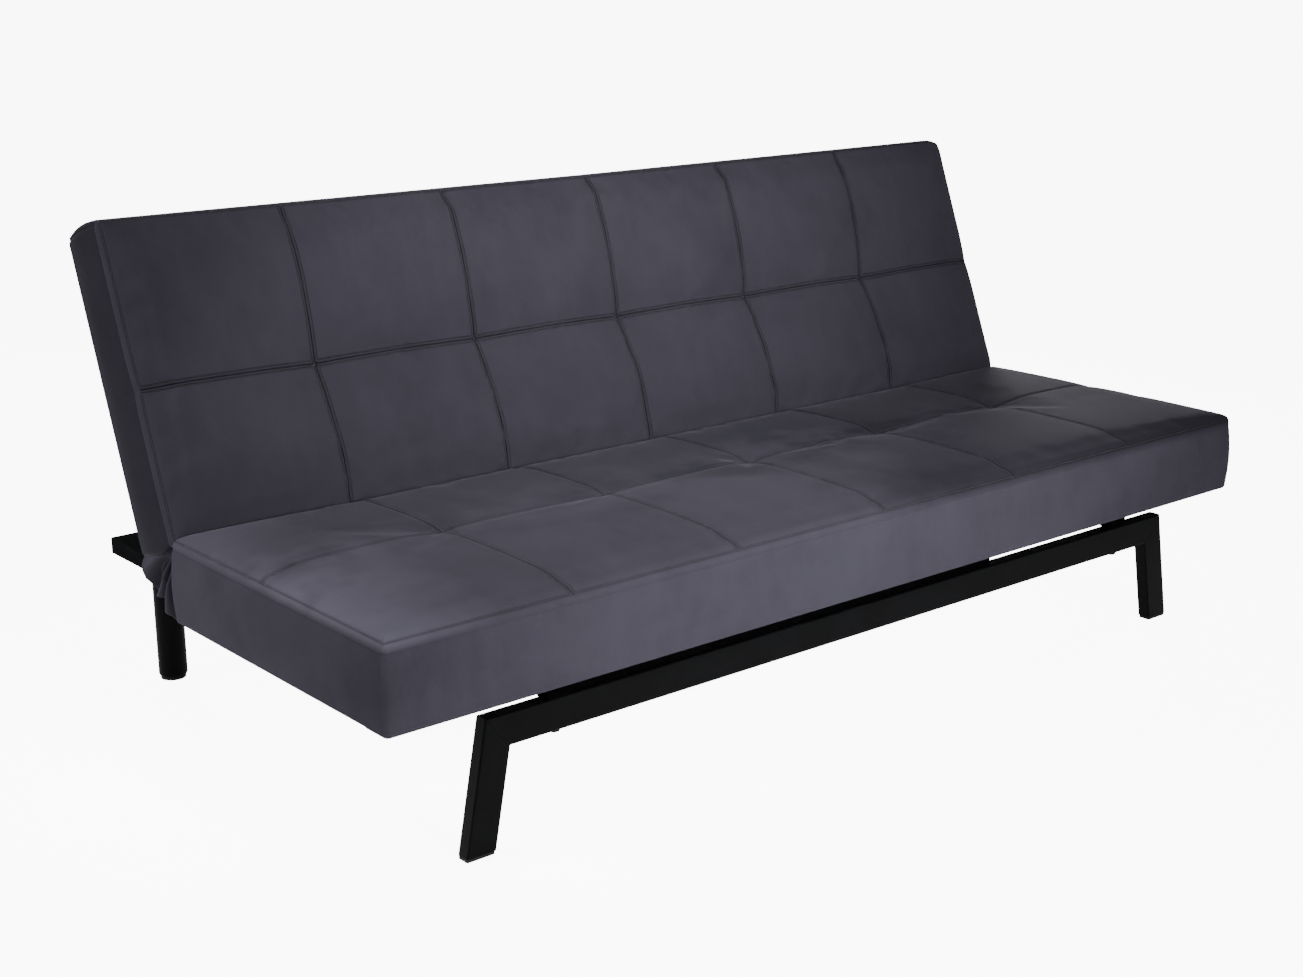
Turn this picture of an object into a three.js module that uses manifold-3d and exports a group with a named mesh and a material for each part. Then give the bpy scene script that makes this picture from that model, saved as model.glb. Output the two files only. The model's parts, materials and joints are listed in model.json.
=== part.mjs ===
// A click-clack sofa bed: a tufted seat on a steel and timber base, and a backrest that tips back
// until it lies level with the seat. Millimetres, +Z up, +X to the sitter's left, the seat facing -Y.
// The origin is on the floor under the middle of the whole sofa. In the names, left and right are those of
// someone who faces the sofa, so left is at -X.
import * as THREE from 'three';
import { mergeVertices } from 'three/addons/utils/BufferGeometryUtils.js';
import Module from 'manifold-3d';

// ---------- driving dimensions ----------
const WIDTH = 1900;
const SEAT_DEPTH = 600;
const SEAT_BOTTOM = 238;
const SEAT_SEAM = 356;             // height of the piped edge round the seat's top
const SEAT_CROWN = 34;             // rise of the seat above its edge
const BACK_TILT = 21;              // degrees from upright
const BACK_LENGTH = 512;           // along the backrest's face
const BACK_THICKNESS = 106;
const BACK_CROWN = 22;
const COVER = 4;                   // velvet with its backing
const WADDING = 24;                // soft layer between cover and foam
const GAP = 0.3;                   // air between parts that touch
const TUBE_FACE = 50;              // front frame: 50 x 25 steel tube
const TUBE_DEPTH = 25;
const TUBE_WALL = 1.5;
const FRAME_FRONT = 28;            // front of the tube frame, behind the seat's front
const RAIL_TOP = 208;
const RAIL_HALF = 771;             // half length of the rail along its top edge
const FOOT_HALF = 810;             // half distance between the outer edges of the front feet
const RUNNER_OUTER = 834;
const RUNNER_WIDTH = 88;
const RUNNER_FRONT = 120;
const RUNNER_REAR = 1080;
const REAR_LEG_Y = 963;
const REAR_LEG_RADIUS = 25;
const BOARD = 26;                  // thickness of the seat frame's boards
const PIVOT_DROP = 50;             // the hinge axis lies this far below the seat's edge
const HINGE_X = 930;               // outer face of the seat frame, where the hinge plates start
const PLATE = 3;                   // thickness of the hinge plates

// ---------- places worked out from them ----------
const TILT = THREE.MathUtils.degToRad(BACK_TILT);
const CREASE_Y = SEAT_DEPTH + 2;   // where the backrest's face meets the seat
const RAIL_BOTTOM = RAIL_TOP - TUBE_FACE;
const RUNNER_TOP = SEAT_BOTTOM - GAP;
const RUNNER_X = RUNNER_OUTER - RUNNER_WIDTH / 2;
const BOLT_Y = FRAME_FRONT + TUBE_DEPTH / 2;
const FRAME_BOTTOM = SEAT_BOTTOM + 2;
const FRAME_TOP = FRAME_BOTTOM + 70;
const FRAME_REAR = SEAT_DEPTH - 10;
// The axis is as far behind the backrest's face as it is below the seat's surface, so that the face
// comes level with the seat when the backrest lies flat.
const PIVOT_N = PIVOT_DROP;
const PIVOT_U = -PIVOT_DROP * Math.tan((Math.PI / 2 - TILT) / 2);
const PIVOT_Y = CREASE_Y + PIVOT_N * Math.cos(TILT) + PIVOT_U * Math.sin(TILT);
const PIVOT_Z = SEAT_SEAM - PIVOT_N * Math.sin(TILT) + PIVOT_U * Math.cos(TILT);
const FLAT_ANGLE = 90 - BACK_TILT;

// ---------- materials ----------
const finish = (color, roughness, metalness = 0) => (
  new THREE.MeshStandardMaterial({ color, roughness, metalness }));
const VELVET = finish(0x47444f, 0.85);
const BLACK_STEEL = finish(0x15181a, 0.45, 0.3);
const BLACK_WOOD = finish(0x17191b, 0.55);
const PLASTIC = finish(0x101112, 0.7);
const RUBBER = finish(0x141414, 0.9);
const PINE = finish(0xc9a877, 0.7);
const FOAM = finish(0xe6dcb4, 0.95);
const LINING = finish(0x1c1c1f, 0.95);
const ZINC = finish(0x9a9da1, 0.4, 0.9);
const SPRING_STEEL = finish(0x5b5d60, 0.4, 0.9);

// ---------- booleans ----------
const wasm = await Module();
wasm.setup();

function solidOf(geometry) {
  const bare = geometry.clone();
  bare.deleteAttribute('normal');
  bare.deleteAttribute('uv');
  const merged = mergeVertices(bare, 1e-3);
  return new wasm.Manifold(new wasm.Mesh({
    numProp: 3,
    vertProperties: Float32Array.from(merged.attributes.position.array),
    triVerts: Uint32Array.from(merged.index.array),
  }));
}

function geometryOf(solid) {
  const mesh = solid.getMesh();
  const geometry = new THREE.BufferGeometry();
  geometry.setAttribute('position', new THREE.BufferAttribute(Float32Array.from(mesh.vertProperties), 3));
  geometry.setIndex(new THREE.BufferAttribute(Uint32Array.from(mesh.triVerts), 1));
  return geometry;
}

const cut = (body, tools) => geometryOf(
  tools.reduce((rest, tool) => rest.subtract(solidOf(tool)), solidOf(body)));
const join = ([first, ...others]) => geometryOf(
  others.reduce((sum, part) => sum.add(solidOf(part)), solidOf(first)));
const common = (a, b) => geometryOf(solidOf(a).intersect(solidOf(b)));

// ---------- shape helpers ----------
function block([x0, x1], [y0, y1], [z0, z1]) {
  return new THREE.BoxGeometry(x1 - x0, y1 - y0, z1 - z0)
    .translate((x0 + x1) / 2, (y0 + y1) / 2, (z0 + z1) / 2);
}

// The range from a to b on the sofa's right (side +1) or its mirror image on the left (side -1).
const mirrored = (side, a, b) => (side > 0 ? [a, b] : [-b, -a]);

// A shape drawn in Y and Z, extruded along X.
function alongX(shape, [x0, x1], curveSegments = 6) {
  const basis = new THREE.Matrix4().makeBasis(
    new THREE.Vector3(0, 1, 0), new THREE.Vector3(0, 0, 1), new THREE.Vector3(1, 0, 0));
  return new THREE.ExtrudeGeometry(shape, { depth: x1 - x0, bevelEnabled: false, curveSegments })
    .applyMatrix4(basis).translate(x0, 0, 0);
}

function rodX(radius, [x0, x1], y, z, sides = 24) {
  return new THREE.CylinderGeometry(radius, radius, x1 - x0, sides)
    .rotateZ(Math.PI / 2).translate((x0 + x1) / 2, y, z);
}

function rodZ(radius, x, y, [z0, z1], sides = 24) {
  return new THREE.CylinderGeometry(radius, radius, z1 - z0, sides)
    .rotateX(Math.PI / 2).translate(x, y, (z0 + z1) / 2);
}

function roundedRectangle(width, height, radius) {
  const shape = new THREE.Shape();
  const [x, y] = [width / 2, height / 2];
  shape.moveTo(-x + radius, -y).lineTo(x - radius, -y);
  shape.absarc(x - radius, -y + radius, radius, -Math.PI / 2, 0);
  shape.absarc(x - radius, y - radius, radius, 0, Math.PI / 2);
  shape.absarc(-x + radius, y - radius, radius, Math.PI / 2, Math.PI);
  shape.absarc(-x + radius, -y + radius, radius, Math.PI, 1.5 * Math.PI);
  return shape;
}

// A screw standing up from its head at the origin.
function screw(shaftRadius, length, headRadius, headHeight) {
  const profile = [[0, 0], [headRadius * 0.8, 0], [headRadius, headHeight * 0.4], [headRadius, headHeight],
    [shaftRadius, headHeight], [shaftRadius, headHeight + length], [0, headHeight + length]];
  const points = profile.map(([r, h]) => new THREE.Vector2(r, h));
  return new THREE.LatheGeometry(points, 12).rotateX(Math.PI / 2);
}

// ---------- the scene graph ----------
const sofa = new THREE.Group();
const base = new THREE.Group();
const backrest = new THREE.Group();
backrest.position.set(0, CREASE_Y, SEAT_SEAM);
backrest.rotation.x = -TILT;       // inside this group Y is N, into the backrest, and Z is U, up its face
base.add(backrest);
base.position.y = -RUNNER_REAR / 2;
sofa.add(base);

function place(group, name, geometry, material) {
  const mesh = new THREE.Mesh(geometry, material);
  mesh.name = name;
  group.add(mesh);
  return mesh;
}
const SIDES = [['left', -1], ['right', 1]];

// ---------- front frame ----------
const SPLAY = Math.atan((FOOT_HALF - RAIL_HALF) / RAIL_TOP);
const TUBE_RADIUS = 3;
const CAP_HEIGHT = 5;

// A hollow tube of the front frame, standing along Z with its section's middle on the axis.
function frameTube(length) {
  const section = roundedRectangle(TUBE_FACE, TUBE_DEPTH, TUBE_RADIUS);
  const hollow = roundedRectangle(TUBE_FACE - 2 * TUBE_WALL, TUBE_DEPTH - 2 * TUBE_WALL, TUBE_RADIUS / 2);
  section.holes.push(new THREE.Path(hollow.getPoints(2).reverse()));
  return new THREE.ExtrudeGeometry(section, { depth: length, bevelEnabled: false, curveSegments: 3 });
}

// A block with one face on the mitre between rail and leg; it lies on the leg's side of the mitre
// when outward is true, else on the rail's side.
function mitreBlock(side, outward) {
  const size = 400;
  const innerX = RAIL_HALF + Math.tan(SPLAY) * TUBE_FACE - TUBE_FACE / Math.cos(SPLAY);
  const slope = Math.atan2(TUBE_FACE, RAIL_HALF - innerX);
  const shift = (outward ? -1 : 1) * (size / 2 - GAP / 2);
  return new THREE.BoxGeometry(size, size, size)
    .translate(0, 0, shift).rotateY(-slope)
    .translate(innerX, BOLT_Y, RAIL_BOTTOM).scale(side, 1, 1);
}

// Mirroring turns a geometry inside out, so its triangles are turned back.
function mirrorX(geometry) {
  const flipped = geometry.clone().scale(-1, 1, 1);
  const plain = flipped.index ? flipped : mergeVertices(flipped);
  const order = plain.index.array;
  for (let i = 0; i < order.length; i += 3) [order[i], order[i + 1]] = [order[i + 1], order[i]];
  return plain;
}
const forSide = (side, geometry) => (side > 0 ? geometry : mirrorX(geometry));

const RAIL_SCREW_X = 644;
const STUD_RADIUS = 4;
const BOLT_HOLE = 4.5;             // radius of the holes for the 8 mm screws and studs
const BOLT_HEAD = [9, 4.5];        // radius and height of their heads
const railTube = frameTube(2 * FOOT_HALF).translate(0, 0, -FOOT_HALF)
  .rotateY(Math.PI / 2)
  .translate(0, BOLT_Y, RAIL_TOP - TUBE_FACE / 2);
const railEnd = mitreBlock(1, true);
const throughRail = [RAIL_BOTTOM - 5, RAIL_TOP + 5];
place(base, 'front_rail', cut(railTube, [
  railEnd, mirrorX(railEnd),
  ...SIDES.map(([, side]) => rodZ(BOLT_HOLE, side * RAIL_SCREW_X, BOLT_Y, throughRail, 16)),
]), BLACK_STEEL);

function frontLeg() {
  const halfWidth = TUBE_FACE / 2 / Math.cos(SPLAY);
  const tube = frameTube(400).translate(0, 0, -60).rotateY(-SPLAY)
    .translate(FOOT_HALF - halfWidth, BOLT_Y, 0);
  const underFoot = block([0, 2 * FOOT_HALF], [-50, 150], [-200, CAP_HEIGHT + GAP]);
  return cut(tube, [mitreBlock(1, false), underFoot]);
}

// A moulded plug: a sole the size of the tube and a shank that goes up inside it.
function footPlug() {
  const soleWidth = TUBE_FACE / Math.cos(SPLAY) - 2;
  const midX = FOOT_HALF - TUBE_FACE / 2 / Math.cos(SPLAY);
  const sole = new THREE.ExtrudeGeometry(roundedRectangle(soleWidth, TUBE_DEPTH - 2, TUBE_RADIUS),
    { depth: CAP_HEIGHT, bevelEnabled: false, curveSegments: 3 }).translate(midX, BOLT_Y, 0);
  const shank = block([-22, 22], [-9.5, 9.5], [-20, 24]).rotateY(-SPLAY).translate(midX, BOLT_Y, CAP_HEIGHT);
  const floor = block([0, 2 * FOOT_HALF], [-50, 150], [-200, CAP_HEIGHT / 2]);
  return join([sole, cut(shank, [floor])]);
}

for (const [name, side] of SIDES) {
  place(base, `front_leg_${name}`, forSide(side, frontLeg()), BLACK_STEEL);
  place(base, `front_foot_${name}`, forSide(side, footPlug()), PLASTIC);
  const [x0, x1] = mirrored(side, RAIL_SCREW_X - 20, RAIL_SCREW_X + 20);
  const [z0, z1] = [RAIL_TOP + GAP, SEAT_BOTTOM - GAP];
  const spacer = block([x0, x1], [FRAME_FRONT, FRAME_FRONT + TUBE_DEPTH], [z0, z1]);
  place(base, `rail_spacer_${name}`,
    cut(spacer, [rodZ(BOLT_HOLE, side * RAIL_SCREW_X, BOLT_Y, [z0 - 5, z1 + 5], 16)]), BLACK_STEEL);
  place(base, `rail_screw_${name}`, screw(STUD_RADIUS, 100, ...BOLT_HEAD)
    .translate(side * RAIL_SCREW_X, BOLT_Y, RAIL_BOTTOM - GAP - BOLT_HEAD[1]), BLACK_STEEL);
}

// A strip that carries the seat's front edge on the rail, from the left spacer to a little right of the middle.
const PACKING_END = 295;
place(base, 'rail_packing', block([-RAIL_SCREW_X + 20 + GAP, PACKING_END],
  [BOLT_Y - 6, BOLT_Y + 6], [RAIL_TOP + GAP, SEAT_BOTTOM - GAP]), BLACK_WOOD);

// ---------- runners and rear legs ----------
const RUNNER_SCREW_Y = 330;
const GLIDE_HEIGHT = 5;
const BUMPER_Y = 880;
const RUNNER_BOTTOM = RUNNER_TOP - 30;

function runner(side) {
  const plank = new THREE.ExtrudeGeometry(roundedRectangle(RUNNER_WIDTH, RUNNER_TOP - RUNNER_BOTTOM, 3),
    { depth: RUNNER_REAR - RUNNER_FRONT, bevelEnabled: false, curveSegments: 3 })
    .rotateX(Math.PI / 2).translate(side * RUNNER_X, RUNNER_REAR, (RUNNER_TOP + RUNNER_BOTTOM) / 2);
  const through = [RUNNER_BOTTOM - 5, RUNNER_TOP + 5];
  return cut(plank, [
    rodZ(BOLT_HOLE, side * RUNNER_X, RUNNER_SCREW_Y, through, 16),
    rodZ(BOLT_HOLE, side * RUNNER_X, REAR_LEG_Y, through, 16),
  ]);
}

// A turned leg with softened ends and a threaded stud on top.
function rearLeg(side) {
  const [r, low, high] = [REAR_LEG_RADIUS, GLIDE_HEIGHT + GAP, RUNNER_BOTTOM - GAP];
  const profile = [[0, low], [r - 4, low], [r - 1.2, low + 1.2], [r, low + 4], [r, high - 1], [r - 1, high],
    [STUD_RADIUS, high], [STUD_RADIUS, high + 24], [0, high + 24]];
  return new THREE.LatheGeometry(profile.map(([x, y]) => new THREE.Vector2(x, y)), 36)
    .rotateX(Math.PI / 2).translate(side * RUNNER_X, REAR_LEG_Y, 0);
}

for (const [name, side] of SIDES) {
  place(base, `runner_${name}`, runner(side), BLACK_WOOD);
  place(base, `rear_leg_${name}`, rearLeg(side), BLACK_STEEL);
  place(base, `rear_glide_${name}`,
    rodZ(REAR_LEG_RADIUS - 3, side * RUNNER_X, REAR_LEG_Y, [0, GLIDE_HEIGHT], 36), PLASTIC);
  place(base, `runner_screw_${name}`, screw(STUD_RADIUS, 54, ...BOLT_HEAD)
    .translate(side * RUNNER_X, RUNNER_SCREW_Y, RUNNER_BOTTOM - GAP - BOLT_HEAD[1]), BLACK_STEEL);
  place(base, `bumper_${name}`,
    rodZ(20, side * RUNNER_X, BUMPER_Y, [RUNNER_TOP + GAP, RUNNER_TOP + 7], 24), RUBBER);
}

// ---------- seat frame ----------
const SPRING_WIRE = 1.8;
const BATTEN_TOP = FRAME_BOTTOM + 28;
const SEAT_SPRING_X = [-540, -180, 180, 540];

// A sinuous spring that winds from side to side as it runs from start to end.
function windingSpring(start, end, sideways, waves) {
  const run = end.clone().sub(start);
  const swing = 26;
  const points = [];
  for (let i = 0; i <= waves * 4; i += 1) {
    const share = i / (waves * 4);
    const sway = Math.sin(share * waves * 2 * Math.PI) * swing;
    points.push(start.clone().addScaledVector(run, share).addScaledVector(sideways, sway));
  }
  const wire = new THREE.Shape().absarc(0, 0, SPRING_WIRE, 0, 2 * Math.PI);
  return new THREE.ExtrudeGeometry(wire, {
    extrudePath: new THREE.CatmullRomCurve3(points), steps: waves * 8, curveSegments: 3, bevelEnabled: false,
  });
}

const FRAME_HEIGHT = [FRAME_BOTTOM, FRAME_TOP];
const PLATE_SCREW = { radius: 3, length: 24, head: [6, 3.5], hole: 3.4 };
const PLATE_SCREW_Y = 530;
const PLATE_SCREW_Z = PIVOT_Z - 24;

// The hole for a hinge plate's screw, through everything near the plate.
const plateScrewHole = (side, y, z) => (
  rodX(PLATE_SCREW.hole, mirrored(side, HINGE_X - 60, HINGE_X + 20), y, z, 12));

for (const [name, side] of SIDES) {
  const sideBoard = block(mirrored(side, HINGE_X - BOARD, HINGE_X), [FRAME_FRONT, FRAME_REAR], FRAME_HEIGHT);
  place(base, `seat_side_board_${name}`,
    cut(sideBoard, [plateScrewHole(side, PLATE_SCREW_Y, PLATE_SCREW_Z)]), PINE);
}
const insideX = [-(HINGE_X - BOARD - GAP), HINGE_X - BOARD - GAP];
const railScrewHoles = SIDES.map(
  ([, side]) => rodZ(BOLT_HOLE, side * RAIL_SCREW_X, BOLT_Y, [200, FRAME_TOP - 20], 16));
place(base, 'seat_front_board',
  cut(block(insideX, [FRAME_FRONT, FRAME_FRONT + BOARD], FRAME_HEIGHT), railScrewHoles), PINE);
place(base, 'seat_rear_board', block(insideX, [FRAME_REAR - BOARD, FRAME_REAR], FRAME_HEIGHT), PINE);
const battenRange = [FRAME_FRONT + BOARD + GAP, FRAME_REAR - BOARD - GAP];
for (const [name, x] of [['left', -RUNNER_X], ['middle', 0], ['right', RUNNER_X]]) {
  const batten = block([x - 32, x + 32], battenRange, [FRAME_BOTTOM, BATTEN_TOP]);
  const hole = rodZ(BOLT_HOLE, x, RUNNER_SCREW_Y, [FRAME_BOTTOM - 5, BATTEN_TOP + 5], 16);
  place(base, `seat_batten_${name}`, x === 0 ? batten : cut(batten, [hole]), PINE);
}
SEAT_SPRING_X.forEach((x, i) => {
  const z = FRAME_TOP + SPRING_WIRE + GAP;
  const [start, end] = [FRAME_FRONT + 6, FRAME_REAR - 6].map((y) => new THREE.Vector3(x, y, z));
  const spring = windingSpring(start, end, new THREE.Vector3(1, 0, 0), 6);
  place(base, `seat_spring_${i + 1}`, spring, SPRING_STEEL);
});

// ---------- seat upholstery ----------
// The seat's section from front to rear, inset all round, and reaching down to the given height.
function seatSection(inset, bottom) {
  const [y0, y1] = [inset, SEAT_DEPTH - inset];
  const [seam, top] = [SEAT_SEAM - inset, SEAT_SEAM + SEAT_CROWN - inset];
  const shape = new THREE.Shape();
  shape.moveTo(y0, bottom).lineTo(y1, bottom).lineTo(y1, seam - 24);
  shape.quadraticCurveTo(y1, seam + 6, y1 - 34, seam + 10);
  shape.bezierCurveTo(y1 - 150, top + 6, y0 + 150, top + 10, y0 + 24, seam + 12);
  shape.quadraticCurveTo(y0, seam + 8, y0, seam - 8);
  return shape;
}
const hingeSlots = SIDES.map(([, side]) => block(mirrored(side, HINGE_X - 4, WIDTH / 2 - COVER),
  [SEAT_DEPTH - 20, SEAT_DEPTH + 20], [SEAT_BOTTOM - 20, PIVOT_Z + 30]));
place(base, 'seat_cover', cut(alongX(seatSection(0, SEAT_BOTTOM), [-WIDTH / 2, WIDTH / 2], 8), [
  alongX(seatSection(COVER, SEAT_BOTTOM - 30), [-WIDTH / 2 + COVER, WIDTH / 2 - COVER], 8), ...hingeSlots,
]), VELVET);
const foamBottom = FRAME_TOP + 2 * SPRING_WIRE + 2 * GAP;
const foamLimit = block([-WIDTH, WIDTH], [-100, FRAME_REAR], [foamBottom, SEAT_SEAM + 100]);
const foamBlank = alongX(seatSection(COVER + WADDING, SEAT_BOTTOM),
  [-WIDTH / 2 + COVER + WADDING, WIDTH / 2 - COVER - WADDING], 8);
place(base, 'seat_foam', common(foamBlank, foamLimit), FOAM);
const LINING_HOLE = 7;
const throughLining = [SEAT_BOTTOM - 8, FRAME_BOTTOM + 8];
const liningHoles = SIDES.flatMap(([, side]) => [
  rodZ(LINING_HOLE, side * RAIL_SCREW_X, BOLT_Y, throughLining, 12),
  rodZ(LINING_HOLE, side * RUNNER_X, RUNNER_SCREW_Y, throughLining, 12),
]);
place(base, 'seat_lining', cut(block([-WIDTH / 2 + COVER + 1, WIDTH / 2 - COVER - 1],
  [COVER + 1, FRAME_REAR], [SEAT_BOTTOM + GAP, FRAME_BOTTOM - GAP]), liningHoles), LINING);

// ---------- hinges ----------
const PIN_RADIUS = 5.7;
const PIN_HOLE = 6;
const SECTOR_RADIUS = 36;
const NOTCH_DEPTH = 5;
const PAWL_ANGLE = THREE.MathUtils.degToRad(225);   // direction from the hinge axis to the pawl's nose
const PAWL_ARM = 28;
const PAWL_STUD = 3.5;
const PAWL_SWING = 9;                               // degrees from lifted to seated in a notch
const LOCK_ANGLES = [-12, 0, 30, FLAT_ANGLE];       // backrest angles that have a notch
const noseY = PIVOT_Y + SECTOR_RADIUS * Math.cos(PAWL_ANGLE);
const noseZ = PIVOT_Z + SECTOR_RADIUS * Math.sin(PAWL_ANGLE);
const pawlY = noseY + PAWL_ARM * Math.sin(PAWL_ANGLE);
const pawlZ = noseZ - PAWL_ARM * Math.cos(PAWL_ANGLE);
const FIXED_PLATE_X = [HINGE_X + GAP, HINGE_X + GAP + PLATE];
const MOVING_PLATE_X = [FIXED_PLATE_X[1] + GAP, FIXED_PLATE_X[1] + GAP + PLATE];
const ACROSS_PLATES = [HINGE_X - 10, HINGE_X + 20];

// The plate on the seat frame, with its eye round the hinge pin and a stud for the pawl.
function fixedPlate(side) {
  const outline = new THREE.Shape();
  const [front, low] = [PLATE_SCREW_Y - 50, PIVOT_Z - 44];
  outline.moveTo(front, low).lineTo(SEAT_DEPTH + 6, low).lineTo(PIVOT_Y + 8, PIVOT_Z - 19);
  outline.absarc(PIVOT_Y, PIVOT_Z, 20, -Math.PI * 0.35, Math.PI * 0.7);
  outline.lineTo(SEAT_DEPTH, PIVOT_Z + 2).lineTo(front, PIVOT_Z - 6);
  const plate = cut(alongX(outline, mirrored(side, ...FIXED_PLATE_X)), [
    rodX(PIN_HOLE, mirrored(side, ...ACROSS_PLATES), PIVOT_Y, PIVOT_Z),
    plateScrewHole(side, PLATE_SCREW_Y, PLATE_SCREW_Z),
  ]);
  const studX = mirrored(side, FIXED_PLATE_X[0] + 1, MOVING_PLATE_X[1] + 3);
  return join([plate, rodX(PAWL_STUD, studX, pawlY, pawlZ, 16)]);
}

// The notched plate on the backrest, made in the backrest's own frame.
const BACK_SCREW = [PIVOT_N + 20, 90];
function movingPlate(side) {
  const range = mirrored(side, ...MOVING_PLATE_X);
  const wide = mirrored(side, ...ACROSS_PLATES);
  const arm = block(range, [PIVOT_N + 2, PIVOT_N + 38], [PIVOT_U, 130]);
  const notches = LOCK_ANGLES.map((angle) => {
    const turn = PAWL_ANGLE + THREE.MathUtils.degToRad(angle) + TILT;
    const shape = new THREE.Shape();
    shape.moveTo(SECTOR_RADIUS - NOTCH_DEPTH, -2.4).lineTo(SECTOR_RADIUS + 3, -3.8);
    shape.lineTo(SECTOR_RADIUS + 3, 3.8).lineTo(SECTOR_RADIUS - NOTCH_DEPTH, 2.4);
    return alongX(shape, wide).rotateX(turn).translate(0, PIVOT_N, PIVOT_U);
  });
  const body = join([rodX(SECTOR_RADIUS, range, PIVOT_N, PIVOT_U, 48), arm]);
  return cut(body, [
    ...notches, rodX(PIN_HOLE, wide, PIVOT_N, PIVOT_U), plateScrewHole(side, ...BACK_SCREW),
  ]);
}

// The pawl, drawn lifted just clear of the notched edge; made round its own axis.
function pawl(side) {
  const range = mirrored(side, ...MOVING_PLATE_X);
  const [tip, heel, lifted] = [1.4, 2.6, -0.5];
  const reach = new THREE.Shape();
  reach.moveTo(0, -6.5).lineTo(PAWL_ARM + heel, -10).lineTo(PAWL_ARM + heel, -5.5);
  reach.lineTo(PAWL_ARM + tip, lifted).lineTo(PAWL_ARM - tip, lifted);
  reach.lineTo(PAWL_ARM - heel, -5.5).lineTo(12, -2.5).lineTo(0, 5);
  const drawn = join([alongX(reach, range), rodX(7, range, 0, 0)]);
  const bored = cut(drawn, [rodX(PAWL_STUD + GAP, mirrored(side, ...ACROSS_PLATES), 0, 0, 16)]);
  return bored.rotateX(PAWL_ANGLE + Math.PI / 2).translate(0, pawlY, pawlZ);
}

// A small torsion spring wound round the pawl's stud.
function pawlSpring(side) {
  const [turns, radius, wire] = [2.5, 5.2, 0.6];
  const points = [];
  for (let i = 0; i <= turns * 8; i += 1) {
    const turn = (i / 8) * 2 * Math.PI;
    const x = MOVING_PLATE_X[1] + GAP + wire + (i / 8) * 1.3;
    const [y, z] = [pawlY + radius * Math.cos(turn), pawlZ + radius * Math.sin(turn)];
    points.push(new THREE.Vector3(side * x, y, z));
  }
  const section = new THREE.Shape().absarc(0, 0, wire, 0, 2 * Math.PI);
  return new THREE.ExtrudeGeometry(section, {
    extrudePath: new THREE.CatmullRomCurve3(points), steps: turns * 12, curveSegments: 3, bevelEnabled: false,
  });
}

// A shouldered rivet with a head at each end.
function hingePin(side) {
  const [inner, outer] = [FIXED_PLATE_X[0] - GAP, MOVING_PLATE_X[1] + GAP];
  return join([
    rodX(PIN_RADIUS, mirrored(side, inner - 2, outer + 2), PIVOT_Y, PIVOT_Z),
    rodX(9, mirrored(side, inner - 3, inner), PIVOT_Y, PIVOT_Z),
    rodX(9, mirrored(side, outer, outer + 3), PIVOT_Y, PIVOT_Z),
  ]);
}

// A hinge plate's screw, with its head outside and its point towards the sofa's middle.
const plateScrew = (side) => screw(PLATE_SCREW.radius, PLATE_SCREW.length, ...PLATE_SCREW.head)
  .rotateY(-side * Math.PI / 2);

for (const [name, side] of SIDES) {
  place(base, `hinge_seat_plate_${name}`, fixedPlate(side), ZINC);
  place(base, `hinge_pin_${name}`, hingePin(side), ZINC);
  place(base, `hinge_pawl_${name}`, pawl(side), ZINC);
  place(base, `pawl_spring_${name}`, pawlSpring(side), SPRING_STEEL);
  place(base, `seat_plate_screw_${name}`, plateScrew(side)
    .translate(side * (FIXED_PLATE_X[1] + GAP + PLATE_SCREW.head[1]), PLATE_SCREW_Y, PLATE_SCREW_Z), ZINC);
  place(backrest, `hinge_back_plate_${name}`, movingPlate(side), ZINC);
  place(backrest, `back_plate_screw_${name}`, plateScrew(side)
    .translate(side * (MOVING_PLATE_X[1] + GAP + PLATE_SCREW.head[1]), ...BACK_SCREW), ZINC);
}

// ---------- backrest frame ----------
const BACK_BOARD_OUTER = MOVING_PLATE_X[0] - GAP;
const BACK_BOARD_N = [48, 100];
const BACK_BOARD_U = [22, BACK_LENGTH - 22];
const BACK_BOARD = 22;
const backInside = [-(BACK_BOARD_OUTER - BACK_BOARD - GAP), BACK_BOARD_OUTER - BACK_BOARD - GAP];

for (const [name, side] of SIDES) {
  const boardX = mirrored(side, BACK_BOARD_OUTER - BACK_BOARD, BACK_BOARD_OUTER);
  place(backrest, `back_side_board_${name}`,
    cut(block(boardX, BACK_BOARD_N, BACK_BOARD_U), [plateScrewHole(side, ...BACK_SCREW)]), PINE);
}
const [boardsLow, boardsHigh] = BACK_BOARD_U;
place(backrest, 'back_bottom_board',
  block(backInside, BACK_BOARD_N, [boardsLow, boardsLow + BACK_BOARD]), PINE);
place(backrest, 'back_top_board',
  block(backInside, BACK_BOARD_N, [boardsHigh - BACK_BOARD, boardsHigh]), PINE);
place(backrest, 'back_middle_board', block([-BACK_BOARD / 2, BACK_BOARD / 2], BACK_BOARD_N,
  [boardsLow + BACK_BOARD + GAP, boardsHigh - BACK_BOARD - GAP]), PINE);
[-480, 0, 480].forEach((x, i) => {
  const n = BACK_BOARD_N[0] - SPRING_WIRE - GAP;
  const [start, end] = [boardsLow + 8, boardsHigh - 8].map((u) => new THREE.Vector3(x, n, u));
  const spring = windingSpring(start, end, new THREE.Vector3(1, 0, 0), 5);
  place(backrest, `back_spring_${i + 1}`, spring, SPRING_STEEL);
});

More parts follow.
